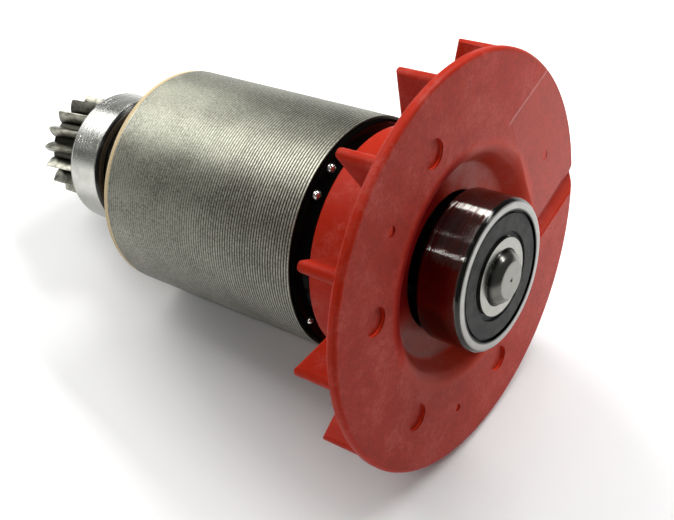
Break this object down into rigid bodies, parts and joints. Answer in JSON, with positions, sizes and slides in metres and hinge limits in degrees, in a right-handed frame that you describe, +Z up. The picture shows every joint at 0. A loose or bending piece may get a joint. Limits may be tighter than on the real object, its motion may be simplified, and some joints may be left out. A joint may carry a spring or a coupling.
{
  "type": "brushless motor rotor",
  "caption": "Power tool rotor: laminated steel core on a stepped shaft with a red moulded cooling fan, a helical pinion and a sealed ball bearing near each end.",
  "frame": {"origin": "centre of the fan-end bearing, on the rotor's axis", "axes": "+X along the axis towards the fan end, +Z up as the rotor lies in the picture"},
  "size_m": [0.0871, 0.0604, 0.0604],
  "materials": {
    "shaft_steel": "turned and ground",
    "sheet_steel": "stacked sheet edges, satin",
    "magnet": "plated sintered block",
    "tan_fibre": "insulating fibre sheet",
    "black_resin": "glossy, with drops of resin",
    "red_plastic": "satin moulding",
    "gear_steel": "cut teeth, oiled",
    "bearing_steel": "ground and polished",
    "ball_steel": "polished",
    "cage_steel": "pressed",
    "seal_rubber": "satin"
  },
  "bodies": {
    "fan_bearing_outer": {"fan_bearing_outer_ring": "bearing_steel", "fan_bearing_front_seal": "seal_rubber", "fan_bearing_rear_seal": "seal_rubber"},
    "rotor": {"shaft": "shaft_steel", "lamination_stack": "sheet_steel", "magnet_1": "magnet", "magnet_2": "magnet", "magnet_3": "magnet", "magnet_4": "magnet", "pinion_end_plate": "tan_fibre", "fan_end_plate": "black_resin", "cooling_fan": "red_plastic", "pinion": "gear_steel", "fan_bearing_inner_ring": "bearing_steel", "pinion_bearing_inner_ring": "bearing_steel"},
    "fan_bearing_rollers": {"fan_bearing_balls": "ball_steel", "fan_bearing_cage": "cage_steel"},
    "pinion_bearing_outer": {"pinion_bearing_outer_ring": "bearing_steel", "pinion_bearing_front_seal": "seal_rubber", "pinion_bearing_rear_seal": "seal_rubber"},
    "pinion_bearing_rollers": {"pinion_bearing_balls": "ball_steel", "pinion_bearing_cage": "cage_steel"}
  },
  "joints": [
    {"name": "rotor_spin", "type": "hinge", "parent": "fan_bearing_outer", "child": "rotor", "pos_m": [0, 0, 0], "axis": [1, 0, 0], "continuous": true},
    {"name": "fan_cage_spin", "type": "hinge", "parent": "fan_bearing_outer", "child": "fan_bearing_rollers", "pos_m": [0, 0, 0], "axis": [1, 0, 0], "continuous": true},
    {"name": "pinion_ring_spin", "type": "hinge", "parent": "rotor", "child": "pinion_bearing_outer", "pos_m": [-0.06945, 0, 0], "axis": [1, 0, 0], "continuous": true},
    {"name": "pinion_cage_spin", "type": "hinge", "parent": "rotor", "child": "pinion_bearing_rollers", "pos_m": [-0.06945, 0, 0], "axis": [1, 0, 0], "continuous": true}
  ],
  "couplings": [
    {"joint": "fan_cage_spin", "follows": "rotor_spin", "ratio": 0.368},
    {"joint": "pinion_cage_spin", "follows": "pinion_ring_spin", "ratio": 0.632}
  ]
}
